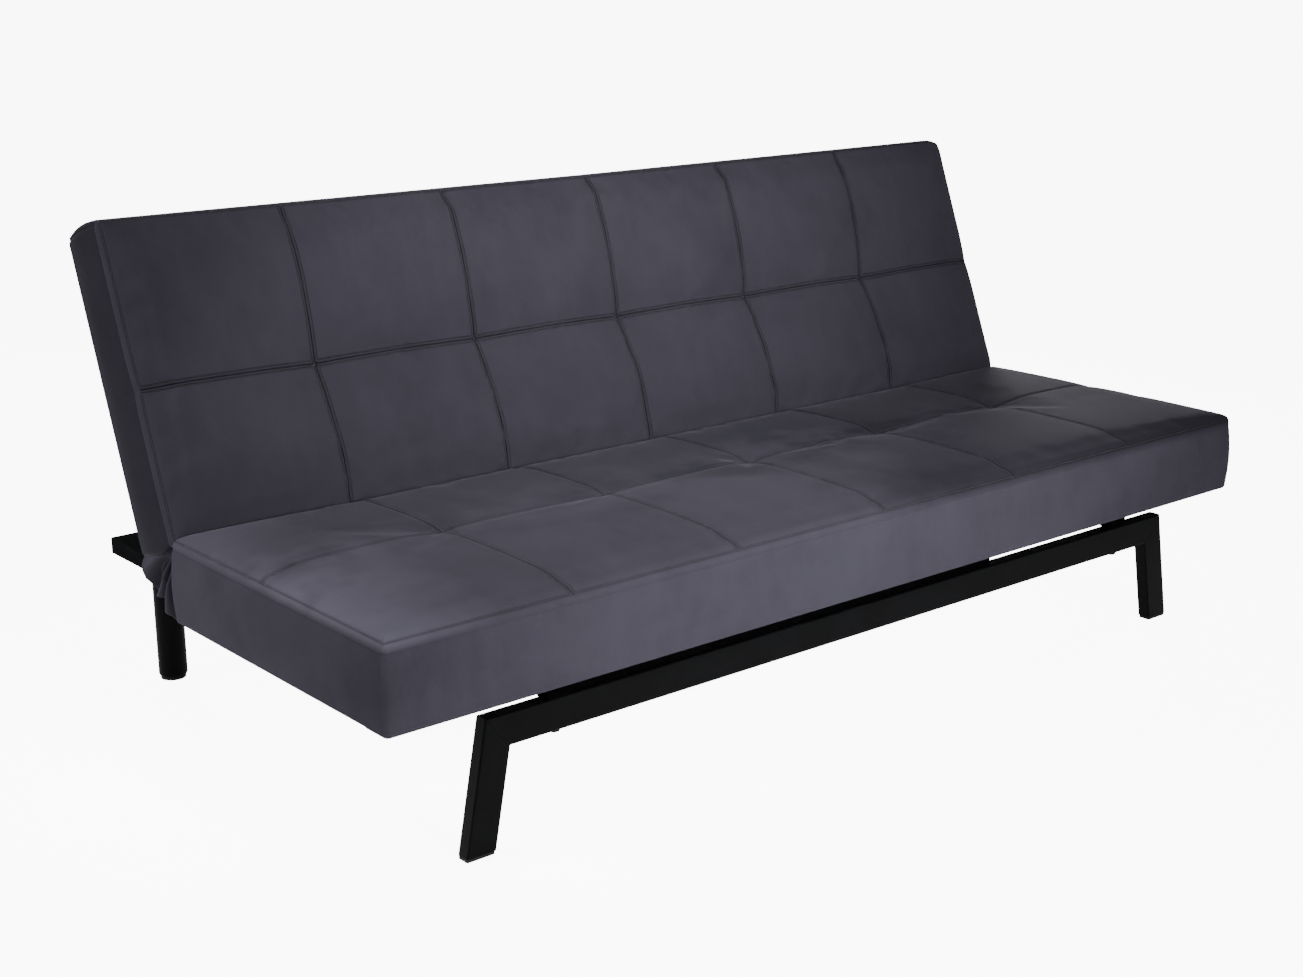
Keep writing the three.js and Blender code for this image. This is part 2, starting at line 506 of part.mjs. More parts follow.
// ---------- backrest upholstery ----------
// The backrest's section: N into the backrest, U up its face; inset all round.
function backSection(inset, bottom) {
  const [front, rear, top] = [inset, BACK_THICKNESS - inset, BACK_LENGTH - inset];
  const shape = new THREE.Shape();
  shape.moveTo(14 + inset, bottom).lineTo(98 - inset, bottom);
  shape.quadraticCurveTo(rear + 6, bottom, rear + 6, bottom + 18);
  shape.lineTo(rear, top - 12).quadraticCurveTo(rear, top, rear - 12, top);
  shape.lineTo(front + 16, top).quadraticCurveTo(front - 4, top, front - 8, top - 26);
  const crown = front - BACK_CROWN - 6;
  shape.bezierCurveTo(crown, top - 150, crown, bottom + 150, front - 8, bottom + 36);
  shape.quadraticCurveTo(front - 4, bottom + 2, 14 + inset, bottom);
  return shape;
}
const backHollow = alongX(backSection(COVER, 4), [-WIDTH / 2 + COVER, WIDTH / 2 - COVER], 8);
const backMouth = block([-WIDTH / 2 + COVER, WIDTH / 2 - COVER], [20, 96], [-20, 40]);
place(backrest, 'back_cover',
  cut(alongX(backSection(0, 4), [-WIDTH / 2, WIDTH / 2], 8), [backHollow, backMouth]), VELVET);
const backFoamBlank = alongX(backSection(COVER + WADDING, 4),
  [-WIDTH / 2 + COVER + WADDING, WIDTH / 2 - COVER - WADDING], 8);
const backFoamRear = BACK_BOARD_N[0] - 2 * SPRING_WIRE - 2 * GAP;
const backFoamLimit = block([-WIDTH, WIDTH], [-100, backFoamRear], [40, BACK_LENGTH]);
place(backrest, 'back_foam', common(backFoamBlank, backFoamLimit), FOAM);

// ---------- side gussets ----------
// A slack flap of velvet over each hinge, drawn as a thin disc cut off at the seat's rear.
const GUSSET_RADIUS = 50;
for (const [name, side] of SIDES) {
  const range = mirrored(side, WIDTH / 2 - COVER - 3.5, WIDTH / 2 - COVER - 0.5);
  const disc = rodX(GUSSET_RADIUS, range, PIVOT_Y, PIVOT_Z, 36);
  const behindSeat = block([-WIDTH, WIDTH], [0, SEAT_DEPTH + GAP], [0, 1000]);
  place(base, `gusset_${name}`, cut(disc, [behindSeat]), VELVET);
}

export default sofa;
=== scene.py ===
"""A click-clack sofa bed: velvet cushions, steel frame and hinge hardware, dressed round the CAD frame."""
import json
import math

import bpy
import numpy as np
from mathutils import Matrix, Vector

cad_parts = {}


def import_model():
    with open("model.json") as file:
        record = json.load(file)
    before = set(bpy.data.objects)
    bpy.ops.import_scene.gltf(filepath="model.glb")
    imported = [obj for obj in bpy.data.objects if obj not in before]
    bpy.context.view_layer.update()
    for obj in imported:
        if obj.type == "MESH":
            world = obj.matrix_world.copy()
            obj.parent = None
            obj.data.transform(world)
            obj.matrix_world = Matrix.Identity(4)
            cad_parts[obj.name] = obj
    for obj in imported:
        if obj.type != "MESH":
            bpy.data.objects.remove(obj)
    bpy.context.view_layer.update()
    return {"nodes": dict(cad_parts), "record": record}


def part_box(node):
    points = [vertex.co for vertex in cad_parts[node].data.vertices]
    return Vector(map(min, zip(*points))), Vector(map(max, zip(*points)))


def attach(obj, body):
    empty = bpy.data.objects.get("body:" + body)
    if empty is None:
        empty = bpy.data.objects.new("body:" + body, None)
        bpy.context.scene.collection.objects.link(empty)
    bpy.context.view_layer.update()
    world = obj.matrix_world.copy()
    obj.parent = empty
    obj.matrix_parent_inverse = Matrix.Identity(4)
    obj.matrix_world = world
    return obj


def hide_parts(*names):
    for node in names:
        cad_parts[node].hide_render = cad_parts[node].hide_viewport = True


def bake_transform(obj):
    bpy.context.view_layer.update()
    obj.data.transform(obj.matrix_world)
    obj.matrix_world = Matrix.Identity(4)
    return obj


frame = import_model()

# ---------- driving sizes, in metres ----------
SEAT_LOW, SEAT_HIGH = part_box("seat_cover")
WIDTH = SEAT_HIGH.x - SEAT_LOW.x
SEAT_DEPTH = SEAT_HIGH.y - SEAT_LOW.y
SEAT_SEAM_Z = 0.356                  # height of the seam round the seat's top
SEAT_THICK = SEAT_SEAM_Z - SEAT_LOW.z
BACK_TILT = math.radians(21.0)       # from upright
BACK_LENGTH = 0.512                  # along the backrest's face
BACK_THICK = 0.106
PIVOT = Vector((0, 0.0964, 0.306))   # the hinge pins' axis
COLUMNS = 6                          # panels across the seat and across the backrest
SEAT_CROSS = 0.330                   # the seat's cross seam, from its front edge
BACK_CROSS = 0.245                   # the backrest's cross seam, from its lower edge

SEAMS_X = [WIDTH * (i / COLUMNS - 0.5) for i in range(1, COLUMNS)]
CREASE_X, TUCK_X = 0.828, -0.905     # a pressed crease and a small tuck on the seat's front border
SEAT_MARKS = [x + d / 1000 for x in (CREASE_X, TUCK_X) for d in (-6, -4, -2.5, -1.2, 0, 1.2, 2.5, 4, 6)]


# ---------- materials ----------
class Nodes:
    """A material's node tree, with short calls for the nodes used here."""

    def __init__(self, name):
        self.material = bpy.data.materials.new(name)
        self.material.use_nodes = True
        self.tree = self.material.node_tree
        self.tree.nodes.clear()
        self.shader = self.add("ShaderNodeBsdfPrincipled")
        out = self.add("ShaderNodeOutputMaterial")
        self.link(self.shader.outputs[0], out.inputs["Surface"])
        self.place = self.add("ShaderNodeTexCoord").outputs["Object"]

    def add(self, kind, **settings):
        node = self.tree.nodes.new(kind)
        for key, value in settings.items():
            setattr(node, key, value)
        return node

    def link(self, a, b):
        self.tree.links.new(a, b)

    def set(self, **values):
        for key, value in values.items():
            self.shader.inputs[key.replace("_", " ")].default_value = value
        return self

    def stretched(self, scale):
        node = self.add("ShaderNodeMapping")
        node.inputs["Scale"].default_value = scale
        self.link(self.place, node.inputs["Vector"])
        return node.outputs[0]

    def noise(self, scale, detail=3.0, rough=0.5, vector=None, distortion=0.0):
        node = self.add("ShaderNodeTexNoise")
        self.link(vector or self.place, node.inputs["Vector"])
        for key, value in (("Scale", scale), ("Detail", detail), ("Roughness", rough),
                           ("Distortion", distortion)):
            node.inputs[key].default_value = value
        return node.outputs["Fac"]

    def voronoi(self, scale, vector=None):
        node = self.add("ShaderNodeTexVoronoi")
        self.link(vector or self.place, node.inputs["Vector"])
        node.inputs["Scale"].default_value = scale
        return node.outputs["Distance"]

    def ramp(self, value, low, high, a=0.0, b=1.0):
        node = self.add("ShaderNodeMapRange")
        self.link(value, node.inputs["Value"])
        for key, number in (("From Min", low), ("From Max", high), ("To Min", a), ("To Max", b)):
            node.inputs[key].default_value = number
        return node.outputs[0]

    def math(self, operation, a, b):
        node = self.add("ShaderNodeMath", operation=operation)
        for socket, value in zip(node.inputs, (a, b)):
            if isinstance(value, (int, float)):
                socket.default_value = value
            else:
                self.link(value, socket)
        return node.outputs[0]

    def mix(self, share, a, b):
        node = self.add("ShaderNodeMix", data_type="RGBA")
        self.link(share, node.inputs["Factor"])
        for name, value in (("A", a), ("B", b)):
            socket = next(s for s in node.inputs if s.name == name and s.type == "RGBA")
            if isinstance(value, tuple):
                socket.default_value = (*value, 1.0)
            else:
                self.link(value, socket)
        return next(s for s in node.outputs if s.type == "RGBA")

    def colour(self, value):
        self.link(value, self.shader.inputs["Base Color"])
        return self

    def roughness(self, value):
        self.link(value, self.shader.inputs["Roughness"])
        return self

    def bump(self, *layers):
        """Each layer is (height, distance in metres, strength)."""
        normal = None
        for height, distance, strength in layers:
            node = self.add("ShaderNodeBump")
            node.inputs["Strength"].default_value = strength
            node.inputs["Distance"].default_value = distance
            self.link(height, node.inputs["Height"])
            if normal:
                self.link(normal, node.inputs["Normal"])
            normal = node.outputs[0]
        self.link(normal, self.shader.inputs["Normal"])
        return self


def velvet(name="velvet", tone=1.0, contrast=0.5, painted_light="", sheen=0.22):
    """Cut pile: dark at its base, light where it leans away, in soft patches. On the seat's top painted shade
    darkens the rear and the right half, and a painted highlight lightens the left rim; on the backrest
    painted shade darkens its foot and its left end. Where the mesh's seam_and_fold_shade attribute is set,
    painted shade darkens the seams and stitch lines, the tufts and the hollows between folds."""
    m = Nodes(name)
    cloud = m.noise(3.2, 3.0, 0.55, m.stretched((1.0, 1.6, 1.6)), 0.6)
    patches = m.math("MULTIPLY", m.ramp(cloud, 0.38, 0.68), contrast)
    streaks = m.ramp(m.noise(22.0, 4.0, 0.6, m.stretched((1.0, 0.5, 0.5))), 0.3, 0.7)
    fibres = m.noise(1500.0, 2.0, 0.7)
    weave = m.noise(420.0, 3.0, 0.7, m.stretched((1.0, 3.0, 3.0)))
    light, middle, dark, root = (tuple(tone * c * b for c in (1.0, 0.93, 1.23))
                                 for b in (0.052, 0.040, 0.0275, 0.018))
    base = m.mix(patches, middle, dark)
    base = m.mix(m.math("MULTIPLY", streaks, 0.35), base, light)
    base = m.mix(m.ramp(fibres, 0.3, 0.75, 0.0, 0.45), base, root)
    split = m.add("ShaderNodeSeparateXYZ")
    m.link(m.place, split.inputs[0])
    x, y, z = split.outputs
    wander = m.ramp(m.noise(5.0, 3.0, 0.6), 0.3, 0.7, -0.14, 0.14)
    if painted_light == "seat":
        rear = m.ramp(m.math("ADD", y, wander), SEAT_LOW.y + 0.26, SEAT_LOW.y + 0.46)
        right = m.ramp(m.math("ADD", x, wander), -0.06, 0.24)
        top = m.ramp(z, SEAT_SEAM_Z - 0.002, SEAT_SEAM_Z + 0.010)
        # painted highlight: the left rim of the seat's top is lightened
        rim = m.ramp(m.math("ADD", x, m.math("MULTIPLY", wander, 0.25)), -0.76, -0.93)
        rim_highlight = m.math("MULTIPLY", m.math("MULTIPLY", rim, top), 0.85)
        base = m.mix(rim_highlight, base, tuple(1.6 * c for c in light))
        # painted shade: the seat top's rear and its right half are darkened
        both = m.math("ADD", m.math("MULTIPLY", rear, 0.55), m.math("MULTIPLY", right, 0.75))
        turned = m.math("MULTIPLY", m.math("MULTIPLY", m.math("MINIMUM", both, 1.0), top), 0.78)
        base = m.mix(turned, base, tuple(0.58 * c for c in root))
    if painted_light == "back":
        # painted shade: the backrest is darkened towards its foot and its left end
        foot = m.ramp(m.math("ADD", z, m.math("MULTIPLY", wander, 0.4)), 0.78, 0.42)
        left = m.ramp(m.math("ADD", x, m.math("MULTIPLY", wander, 0.5)), -0.55, -0.93)
        turned = m.math("MAXIMUM", m.math("MULTIPLY", foot, 0.38), m.math("MULTIPLY", left, 0.34))
        base = m.mix(turned, base, tuple(0.4 * c for c in root))
    if painted_light:
        # painted shade from the mesh attribute: along seams and stitch lines, at tufts, and in the gusset's
        # fold hollows
        seam_and_fold_shade = m.add("ShaderNodeAttribute", attribute_name="seam_and_fold_shade").outputs["Fac"]
        share = m.math("MULTIPLY", seam_and_fold_shade, {"seat": 0.5, "back": 0.8, "folds": 0.85}[painted_light])
        base = m.mix(share, base, tuple(0.3 * c for c in root))
    m.colour(base)
    m.roughness(m.ramp(weave, 0.3, 0.7, 0.78, 0.95))
    m.bump((weave, 0.0006, 0.35), (fibres, 0.0003, 0.45))
    m.set(Sheen_Weight=sheen, Sheen_Roughness=0.3, Sheen_Tint=(0.62, 0.59, 0.72, 1.0),
          Specular_IOR_Level=0.02)
    return m.material


def thread():
    m = Nodes("velvet_thread")
    twist = m.noise(2600.0, 1.0, 0.5)
    m.colour(m.mix(m.ramp(twist, 0.35, 0.65), (0.005, 0.0047, 0.006), (0.014, 0.013, 0.017)))
    m.roughness(m.ramp(twist, 0.3, 0.7, 0.5, 0.75)).bump((twist, 0.0002, 0.5))
    return m.set(Sheen_Weight=0.2, Sheen_Roughness=0.4).material


def powder_coat():
    """Satin black powder coat with a fine orange peel and a little dust."""
    m = Nodes("black_powder_coat")
    peel = m.noise(900.0, 2.0, 0.5)
    dust = m.noise(14.0, 5.0, 0.6)
    m.colour(m.mix(m.ramp(dust, 0.45, 0.75), (0.0009, 0.0010, 0.0013), (0.0018, 0.0020, 0.0025)))
    m.roughness(m.ramp(dust, 0.3, 0.7, 0.34, 0.46)).bump((peel, 0.0002, 0.25))
    return m.set(Specular_IOR_Level=0.06).material


def painted_wood():
    """Black lacquer over timber, with the grain just showing through."""
    m = Nodes("black_lacquered_wood")
    grain = m.noise(60.0, 5.0, 0.65, m.stretched((6.0, 0.35, 6.0)), 0.4)
    m.colour(m.mix(m.ramp(grain, 0.35, 0.7), (0.0048, 0.0050, 0.0053), (0.0088, 0.0092, 0.0096)))
    m.roughness(m.ramp(grain, 0.3, 0.7, 0.42, 0.6)).bump((grain, 0.0004, 0.3))
    return m.set(Specular_IOR_Level=0.0).material


def moulded(name, dark, light, rough, gloss=0.2):
    """Moulded plastic or rubber with a fine spark-eroded texture."""
    m = Nodes(name)
    grain = m.noise(1800.0, 2.0, 0.6)
    scuff = m.noise(40.0, 4.0, 0.7)
    m.colour(m.mix(m.ramp(scuff, 0.5, 0.8), dark, light))
    m.roughness(m.ramp(scuff, 0.3, 0.7, rough, rough + 0.12)).bump((grain, 0.00025, 0.4))
    return m.set(Specular_IOR_Level=gloss).material


def pine():
    """Planed softwood: growth rings stretched along the board, with darker latewood lines."""
    m = Nodes("pine_boards")
    wander = m.stretched((1.2, 14.0, 14.0))
    rings = m.noise(9.0, 6.0, 0.62, wander, 1.4)
    pores = m.noise(260.0, 2.0, 0.5, m.stretched((0.2, 1.0, 1.0)))
    wood = m.mix(m.ramp(rings, 0.32, 0.66), (0.62, 0.43, 0.24), (0.40, 0.23, 0.10))
    m.colour(m.mix(m.ramp(pores, 0.5, 0.8, 0.0, 0.5), wood, (0.30, 0.17, 0.08)))
    m.roughness(m.ramp(rings, 0.3, 0.7, 0.6, 0.8)).bump((rings, 0.0005, 0.25), (pores, 0.0003, 0.3))
    return m.material


def foam():
    """Open-cell foam with visible pores."""
    m = Nodes("open_cell_foam")
    cells = m.voronoi(900.0)
    tone = m.noise(9.0, 3.0, 0.6)
    base = m.mix(m.ramp(tone, 0.35, 0.7), (0.80, 0.72, 0.46), (0.70, 0.60, 0.34))
    m.colour(m.mix(m.ramp(cells, 0.0, 0.35, 0.5, 0.0), base, (0.42, 0.34, 0.18)))
    m.bump((cells, 0.0008, 0.6))
    return m.set(Roughness=0.95, Specular_IOR_Level=0.1).material


def lining():
    """Black spun-bonded dust cloth with its dotted bonding."""
    m = Nodes("spunbond_lining")
    dots = m.voronoi(520.0)
    fuzz = m.noise(300.0, 4.0, 0.7)
    base = m.mix(m.ramp(fuzz, 0.3, 0.7), (0.014, 0.014, 0.016), (0.03, 0.03, 0.033))
    m.colour(m.mix(m.ramp(dots, 0.1, 0.35, 0.6, 0.0), base, (0.008, 0.008, 0.009)))
    m.bump((dots, 0.0004, 0.5), (fuzz, 0.0004, 0.3))
    return m.set(Roughness=0.9, Sheen_Weight=0.15).material


def plated(name, light, dark, rough):
    """Plated or drawn steel: with brush lines along X, a little cloudy."""
    m = Nodes(name)
    brush = m.noise(500.0, 3.0, 0.6, m.stretched((0.1, 1.0, 1.0)))
    cloud = m.noise(60.0, 3.0, 0.6)
    m.colour(m.mix(m.ramp(cloud, 0.35, 0.7), light, dark))
    m.roughness(m.ramp(cloud, 0.3, 0.7, rough, rough + 0.15)).bump((brush, 0.0001, 0.25))
    return m.set(Metallic=0.9).material


MATERIALS = {
    "velvet": velvet(),
    "velvet_seat": velvet("velvet_seat", 1.06, contrast=0.7, painted_light="seat", sheen=0.075),
    "velvet_back": velvet("velvet_back", contrast=0.4, painted_light="back"),
    "velvet_gusset": velvet("velvet_gusset", 1.05, painted_light="folds", sheen=0.12),
    # painted shade: a darker copy of the backrest's velvet, for its ends
    "velvet_painted_shade_ends": velvet("velvet_back_ends_painted_shade", 0.62, painted_light="back"),
    "thread": thread(), "black_steel": powder_coat(), "black_wood": painted_wood(),
    "black_plastic": moulded("black_moulded_plastic", (0.006, 0.006, 0.0065), (0.014, 0.014, 0.015), 0.5),
    # partly painted shade: black packing, darkened further for the shade under the seat's front
    "painted_shade_black": moulded("painted_shade_packing", (0.0010, 0.0011, 0.0012), (0.0021, 0.0022, 0.0024), 0.85,
                           gloss=0.0),
    "rubber": moulded("black_rubber", (0.009, 0.009, 0.009), (0.02, 0.02, 0.019), 0.78),
    "pine": pine(), "foam": foam(), "lining": lining(),
    "zinc_plate": plated("zinc_plated_steel", (0.56, 0.57, 0.60), (0.40, 0.40, 0.38), 0.28),
    "spring_steel": plated("spring_wire", (0.22, 0.22, 0.23), (0.12, 0.11, 0.11), 0.34),
}


# ---------- the CAD nodes that stay ----------
# between rail and seat: black packing and spacers, made darker still to paint the shade under the seat's
# front
PAINTED_SHADE_FINISH = dict.fromkeys(("rail_packing", "rail_spacer_left", "rail_spacer_right"), "painted_shade_black")


def smooth_by_angle(mesh, degrees=32.0):
    mesh.shade_smooth()
    mesh.set_sharp_from_angle(angle=math.radians(degrees))


for part in frame["record"]["subparts"]:
    node = frame["nodes"][part["node"]]
    node.data.materials.clear()
    node.data.materials.append(MATERIALS[PAINTED_SHADE_FINISH.get(part["node"], part["material_slot"])])
    smooth_by_angle(node.data)


# ---------- fabric panels ----------
SEAM_OFFSETS = [0, 0.8, 1.6, 2.4, 3.2, 4.0, 4.8, 5.6, 6.6, 8, 11, 15]      # millimetres from a seam's middle
EDGE_OFFSETS = [0, 0.8, 1.8, 3, 4.6, 6.6, 9, 12, 16, 21, 27]
SEAM_STITCH, EDGE_STITCH = 0.0048, 0.0046
SQUEEZED = 0.030                     # how much of the seat's rear end the backrest covers in coming forward
PLAIN_STEP = 0.0070
SIM_STEP = 0.0100


def spaced(start, end, step):
    return np.linspace(start, end, max(2, round((end - start) / step) + 1))


def graded(start, end, seams):
    """Positions from start to end, close together near both ends and at the seams."""
    near = [x / 1000 for x in SEAM_OFFSETS]
    edge = [x / 1000 for x in EDGE_OFFSETS]
    stops = [start + edge[-1]] + [s + d for s in seams for d in (-near[-1], near[-1])] + [end - edge[-1]]
    found = [start + e for e in edge] + [end - e for e in edge]
    found += [s + d * sign for s in seams for d in near for sign in (-1, 1)]
    for a, b in zip(stops[::2], stops[1::2]):
        found += list(spaced(a, b, PLAIN_STEP))
    return np.unique(np.round(found, 7))


def smooth_step(t):
    t = np.clip(t, 0, 1)
    return t * t * (3 - 2 * t)


def bumpy(distance, reach):
    """1 at distance 0, falling smoothly to 0 at reach."""
    t = np.clip(np.abs(distance) / reach, 0, 1)
    return (1 - t * t) ** 2


def interpolation(targets, sources):
    """The matrix that takes values at evenly spaced sources to values at targets, by cubic curves."""
    step = sources[1] - sources[0]
    place = np.clip((targets - sources[0]) / step, 0, len(sources) - 1)
    low = np.minimum(place.astype(int), len(sources) - 2)
    t = place - low
    matrix = np.zeros((len(targets), len(sources)))
    weights = [-0.5 * t + t**2 - 0.5 * t**3, 1 - 2.5 * t**2 + 1.5 * t**3,
               0.5 * t + 2 * t**2 - 1.5 * t**3, -0.5 * t**2 + 0.5 * t**3]
    for k, weight in enumerate(weights):
        column = np.clip(low + k - 1, 0, len(sources) - 1)
        np.add.at(matrix, (np.arange(len(targets)), column), weight)
    return matrix


class Panel:
    """A cushion's tufted face. a runs along X, b from its front or lower edge, h out of the cushion."""

    def __init__(self, depth, cross, crown, roll, valley, tuft_depth, tuft_reach, corners, slack,
                 pressure, grip, give, lift=0.0, left_draw=1.0, groove=1.0, pinch=0.0035, marks=(), folds=()):
        # outline: the corners are the radii on the left and the right
        self.half, self.depth, self.cross = WIDTH / 2, depth, cross
        self.corners, self.lift, self.pinch, self.marks = corners, lift, pinch, marks
        # stuffed shape
        self.crown, self.roll, self.valley = crown, roll, valley
        self.tuft_depth, self.tuft_reach, self.left_draw = tuft_depth, tuft_reach, left_draw
        # simulation: give is how far a point may move
        self.slack, self.pressure, self.grip, self.give = slack, pressure, grip, give
        # sewing
        self.groove, self.folds = groove, folds

    def edge_distance(self, a, b):
        """From the panel's left or right end, and from its front or rear edge."""
        return np.maximum(self.half - np.abs(a), 0), np.maximum(np.minimum(b, self.depth - b), 0)

    def distances(self, a, b):
        """From the nearest of the seams that run front to rear, the cross seam and the panel's edge."""
        column = np.abs(np.stack([a - s for s in SEAMS_X])).min(0)
        return column, np.abs(b - self.cross), np.minimum(*self.edge_distance(a, b))

    def height(self, a, b):
        """The stuffed shape before simulation: a rolled edge, a long crown, and a dip at each tuft."""
        side, end = self.edge_distance(a, b)
        column, row, near = self.distances(a, b)
        rolled = self.roll * np.sqrt(np.clip(1 - (1 - np.clip(near / self.roll, 0, 1)) ** 2, 0, 1))
        swell = (1 - np.exp(-side / 0.055)) * (1 - np.exp(-end / 0.07))
        h = rolled + (self.crown - self.roll) * swell
        inside = swell ** 0.5
        drawn = self.left_draw + (1 - self.left_draw) * smooth_step((a + 0.45) / 0.75)
        valleys = np.exp(-(column / 0.030) ** 2) + 1.4 * np.exp(-(row / 0.040) ** 2)
        h = h - self.valley * valleys * inside * drawn
        for s in SEAMS_X:
            r = np.sqrt((a - s) ** 2 + (b - self.cross) ** 2 + 0.004 ** 2)
            h = h - self.tuft_depth * np.exp(-r / self.tuft_reach) * drawn
        return h

    def plan(self, a, b, pull=1.0):
        """Where a point of the cut panel lies, with rounded corners and the cross seam's ends pulled in."""
        pinch = pull * self.pinch * np.exp(-np.abs(b - self.cross) / 0.02)
        b = b + self.lift * np.clip(-a / self.half, 0, 1) * np.clip(b / self.depth, 0, 1) ** 2
        a = a * (1 - pinch / self.half)
        r = np.where(a < 0, *self.corners)
        p = np.clip((np.abs(a) - (self.half - r)) / r, 0, 1)
        q = np.clip((np.abs(b - self.depth / 2) - (self.depth / 2 - r)) / r, 0, 1)
        shift_a = r * p * (np.sqrt(1 - q * q / 2) - 1)
        shift_b = r * q * (np.sqrt(1 - p * p / 2) - 1)
        return a + np.sign(a) * shift_a, b + np.sign(b - self.depth / 2) * shift_b

    def base(self, a, b):
        a, b = np.meshgrid(a, b)
        x, y = self.plan(a, b)
        return np.stack([x, y, self.height(a, b)], axis=-1)

    def hem(self, a, b):
        """The panel's outline as it would be if nothing pulled it in, level with its edge seam."""
        x, y = self.plan(*np.meshgrid(a, b), pull=0.0)
        return boundary(np.stack([x, y, np.zeros(x.shape)], axis=-1))

    def surface(self, name):
        """The face as (a positions, b positions, points), simulated, then drawn again on a finer grid."""
        sim_a, sim_b = spaced(-self.half, self.half, SIM_STEP), spaced(0, self.depth, SIM_STEP)
        fine_a = np.unique(np.append(graded(-self.half, self.half, SEAMS_X), self.marks))
        fine_b = graded(0, self.depth, [self.cross])
        start = self.base(sim_a, sim_b)
        moved = start
        moved = inflate(name, start, self.hold(sim_a, sim_b), self.slack, self.pressure, self.give)
        shift = moved - start
        across, along = interpolation(fine_a, sim_a), interpolation(fine_b, sim_b)
        points = self.base(fine_a, fine_b) + np.einsum("ij,jkc,lk->ilc", along, shift, across)
        return fine_a, fine_b, self.sewn(fine_a, fine_b, points)

    def hold(self, a, b):
        """How firmly each point keeps its place: all round and at the tufts fully, along seams partly."""
        a, b = np.meshgrid(a, b)
        column, row, near = self.distances(a, b)
        tuft = np.hypot(column, row)
        weight = np.full(a.shape, 0.012)
        weight = np.maximum(weight, self.grip * (np.minimum(column, row) < 0.006))
        weight = np.maximum(weight, 1.0 * (tuft < 0.008))
        return np.maximum(weight, 1.0 * (near < 0.004))

    def sewn(self, a, b, points):
        """The face with its twin-stitched seams and the small hole at each tuft pushed in."""
        normal = normals(points)
        a, b = np.meshgrid(a, b)
        column, row, near = self.distances(a, b)
        relief = self.groove * np.minimum(seam_relief(column), seam_relief(row))
        relief *= np.clip((near - 0.002) / 0.006, 0, 1)
        relief += np.where((column < 0.008) & (row < 0.008), -0.0012, 0) * bumpy(np.hypot(column, row), 0.008)
        relief -= 0.0006 * np.exp(-((near - EDGE_STITCH) / 0.0010) ** 2)
        relief += fold_relief(a, b, self.folds)
        return points + normal * relief[..., None]

    def paint_seam_shade(self, obj, a, b):
        """Marks on the cushion's mesh where painted shade darkens the velvet: at the seams, their stitching,
        the edge stitching and the tufts.
        """
        a, b = np.meshgrid(a, b)
        column, row, near = self.distances(a, b)
        flat = np.maximum(seam_shade_lines(column), seam_shade_lines(row))
        flat *= np.clip((near - EDGE_STITCH + 0.001) / 0.002, 0, 1)
        flat = np.maximum(flat, 0.85 * np.exp(-((near - EDGE_STITCH) / 0.0012) ** 2))
        flat = np.maximum(flat, np.exp(-(np.hypot(column, row) / 0.006) ** 2))
        values = np.zeros(len(obj.data.vertices), np.float32)
        values[:flat.size] = flat.ravel()
        obj.data.attributes.new("seam_and_fold_shade", "FLOAT", "POINT").data.foreach_set("value", values)


def seam_shade_lines(distance):
    """Painted shade along a seam: along its middle and under both rows of stitches, 1 at most."""
    return np.maximum(np.exp(-(distance / 0.0013) ** 2),
                      0.85 * np.exp(-((distance - SEAM_STITCH) / 0.0012) ** 2))


def fold_relief(a, b, folds):
    """Soft ridges and creases. Each fold is (a, b) of its start and of its end, in metres, its height and its
    half width, in millimetres, and it fades at both ends."""
    total = np.zeros(a.shape)
    for start_a, start_b, end_a, end_b, height, width in folds:
        run_a, run_b = end_a - start_a, end_b - start_b
        t = np.clip(((a - start_a) * run_a + (b - start_b) * run_b) / (run_a ** 2 + run_b ** 2), 0, 1)
        away = np.hypot(a - start_a - t * run_a, b - start_b - t * run_b)
        total += height / 1000 * np.exp(-(away * 1000 / width) ** 2) * (1 - (2 * t - 1) ** 2)
    return total


def puckers(cross, angles, length, height, width):
    """Short folds that fan out of every tuft, a little different at each."""
    folds = []
    for i, x in enumerate(SEAMS_X):
        for k, angle in enumerate(angles):
            turn = math.radians(angle + 9 * math.sin(2.3 * i + 1.7 * k))
            reach = length * (1 + 0.35 * math.sin(1.9 * i + 2.6 * k))
            folds.append((x + 0.004 * math.cos(turn), cross + 0.004 * math.sin(turn),
                          x + reach * math.cos(turn), cross + reach * math.sin(turn), height, width))
    return folds


def seam_relief(distance):
    """A seam's section: a groove in the middle, a soft ridge each side, and a line of stitching beyond."""
    d = distance * 1000
    return (-3.2 * np.exp(-(d / 0.9) ** 2) + 1.1 * np.exp(-((d - 2.5) / 1.2) ** 2)
            - 1.4 * np.exp(-((d - 4.8) / 0.9) ** 2)) / 1000


def normals(points):
    """Unit normals of a grid of points."""
    da, db = np.gradient(points, axis=1), np.gradient(points, axis=0)
    n = np.cross(da, db)
    return n / np.maximum(np.linalg.norm(n, axis=-1, keepdims=True), 1e-12)


# ---------- mesh building ----------
def grid_faces(rows, columns, first=0):
    index = first + np.arange(rows * columns).reshape(rows, columns)
    return np.stack([index[:-1, :-1], index[:-1, 1:], index[1:, 1:], index[1:, :-1]], axis=-1).reshape(-1, 4)


def mesh_object(name, points, faces, material, smooth=True):
    mesh = bpy.data.meshes.new(name)
    mesh.from_pydata([tuple(p) for p in np.asarray(points).reshape(-1, 3)], [], [tuple(f) for f in faces])
    mesh.validate()
    if material:
        mesh.materials.append(material)
    if smooth:
        mesh.shade_smooth()
    obj = bpy.data.objects.new(name, mesh)
    bpy.context.scene.collection.objects.link(obj)
    return obj


